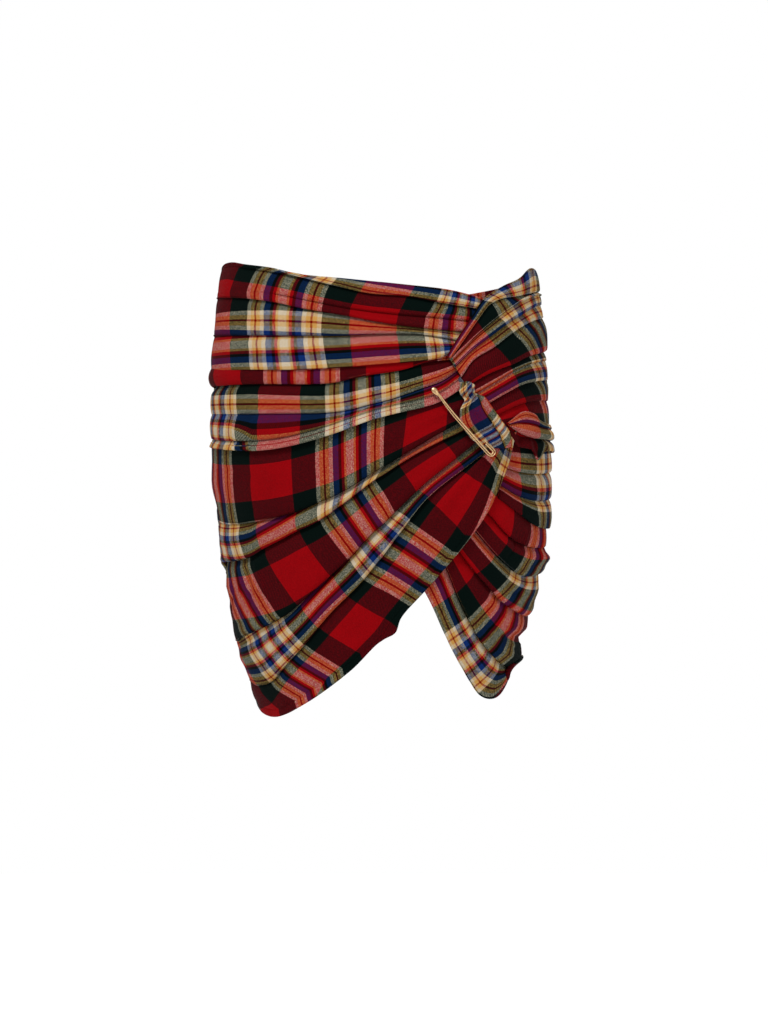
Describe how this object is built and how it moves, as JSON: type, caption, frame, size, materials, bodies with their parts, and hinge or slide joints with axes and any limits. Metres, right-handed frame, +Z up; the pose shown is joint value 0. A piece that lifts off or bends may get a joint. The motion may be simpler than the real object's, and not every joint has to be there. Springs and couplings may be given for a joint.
{
  "type": "draped tartan wrap skirt",
  "caption": "Short asymmetric tartan wrap skirt, draped in folds to one hip, ruched at the side seams and closed with a kilt pin.",
  "frame": {"origin": "centre of the waist opening, level with the middle of the front waist edge, where the wearer's waist holds the skirt", "axes": "+X to the right of the front view, +Y from the front to the back, +Z up through the waist opening"},
  "size_m": [0.3515, 0.2591, 0.4508],
  "materials": {
    "tartan_wool": "soft brushed wool twill in a red, green, blue, cream and yellow tartan",
    "pin_brass": "polished pale gold plate"
  },
  "bodies": {
    "root": {"waist_drape_left": "tartan_wool", "hip_drape_left": "tartan_wool", "front_wrap_left": "tartan_wool", "waist_drape_right": "tartan_wool", "hip_drape_right": "tartan_wool", "front_wrap_right": "tartan_wool", "back_panel": "tartan_wool", "gather_ruffle": "tartan_wool", "ruffle_loops": "tartan_wool", "kilt_pin_bar": "pin_brass", "kilt_pin_needle": "pin_brass", "kilt_pin_clasp": "pin_brass"}
  },
  "joints": []
}
